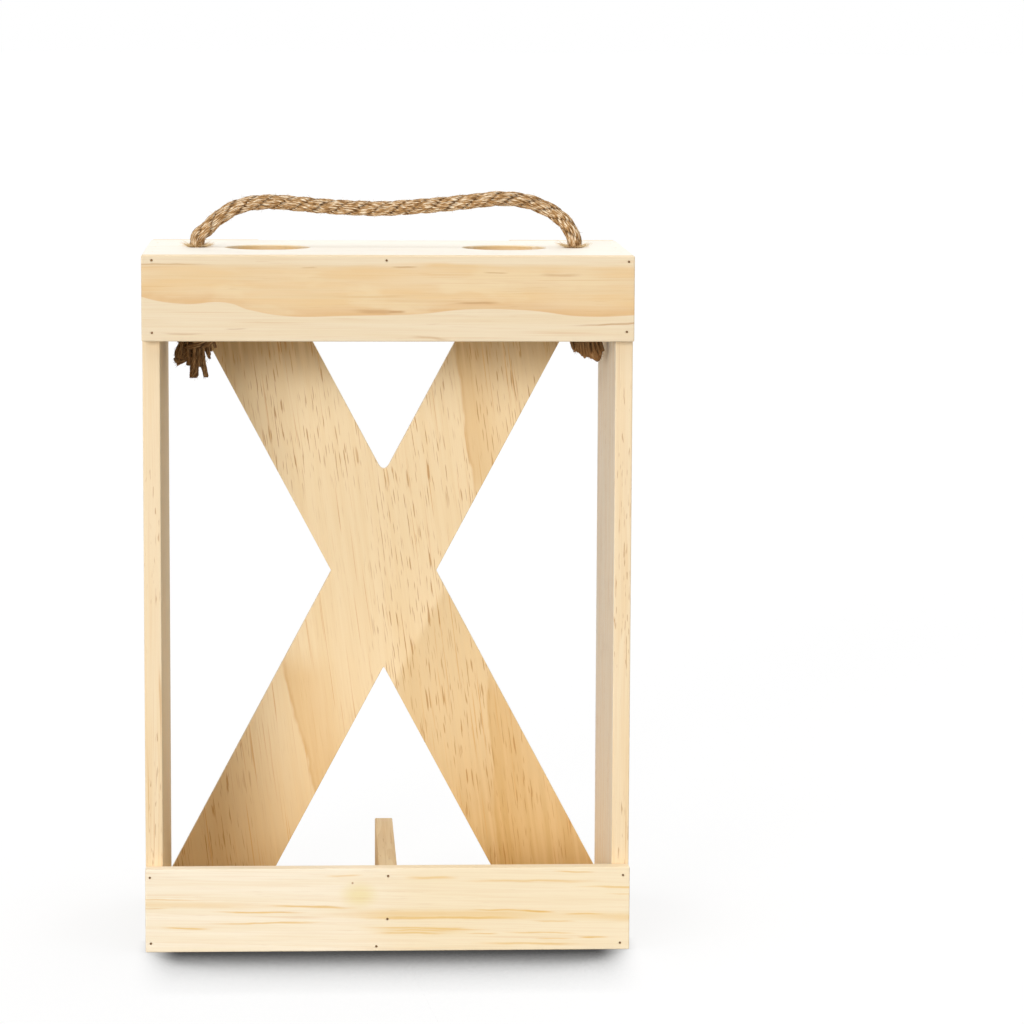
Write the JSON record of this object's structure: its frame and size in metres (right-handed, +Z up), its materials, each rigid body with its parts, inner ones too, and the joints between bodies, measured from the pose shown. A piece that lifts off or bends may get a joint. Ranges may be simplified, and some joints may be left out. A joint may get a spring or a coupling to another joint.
{
  "type": "wine crate",
  "caption": "Open pine carrier for two wine bottles: solid sides, neck holes in the top, nailed rails in front, an X brace behind and a knotted rope handle.",
  "frame": {"origin": "centre of the crate's footprint, on the surface that it stands on", "axes": "+Z up, -Y towards the open front with the two rails, +Y towards the X brace, +X to the right seen from the front"},
  "size_m": [0.21, 0.1166, 0.3266],
  "materials": {
    "pine": "planed and sanded, unfinished",
    "plywood": "sanded pine veneer, unfinished",
    "jute": "laid jute rope with loose fibres",
    "brad_steel": "plain drawn wire, dulled"
  },
  "bodies": {
    "crate": {"base_board": "pine", "top_board": "pine", "left_side_board": "pine", "right_side_board": "pine", "top_rail": "pine", "bottom_rail": "pine", "divider": "pine", "x_brace": "plywood", "base_board_nail_left_1": "brad_steel", "base_board_nail_left_2": "brad_steel", "base_board_nail_left_3": "brad_steel", "base_board_nail_right_1": "brad_steel", "base_board_nail_right_2": "brad_steel", "base_board_nail_right_3": "brad_steel", "bottom_rail_nail_1": "brad_steel", "bottom_rail_nail_2": "brad_steel", "bottom_rail_nail_3": "brad_steel", "bottom_rail_nail_4": "brad_steel", "bottom_rail_nail_5": "brad_steel", "bottom_rail_nail_6": "brad_steel", "bottom_rail_nail_7": "brad_steel", "brace_foot_nail_1": "brad_steel", "brace_foot_nail_2": "brad_steel", "brace_foot_nail_3": "brad_steel", "brace_foot_nail_4": "brad_steel", "brace_top_nail_1": "brad_steel", "brace_top_nail_2": "brad_steel", "brace_top_nail_3": "brad_steel", "brace_top_nail_4": "brad_steel", "divider_nail_1": "brad_steel", "divider_nail_2": "brad_steel", "top_board_nail_left_1": "brad_steel", "top_board_nail_left_2": "brad_steel", "top_board_nail_left_3": "brad_steel", "top_board_nail_right_1": "brad_steel", "top_board_nail_right_2": "brad_steel", "top_board_nail_right_3": "brad_steel", "top_rail_nail_1": "brad_steel", "top_rail_nail_2": "brad_steel", "top_rail_nail_3": "brad_steel", "top_rail_nail_4": "brad_steel", "top_rail_nail_5": "brad_steel"},
    "rope_ends": {"rope_end_left": "jute", "rope_end_right": "jute"},
    "handle": {"rope_arch": "jute"}
  },
  "joints": [
    {"name": "handle_lift", "type": "slide", "parent": "crate", "child": "rope_ends", "axis": [0, 0, 1], "range_m": [0, 0.0105]},
    {"name": "handle_swing", "type": "hinge", "parent": "rope_ends", "child": "handle", "pos_m": [0, 0.0015, 0.3056], "axis": [1, 0, 0], "range_deg": [-80, 80], "stiffness_Nm_per_rad": 0.004}
  ]
}
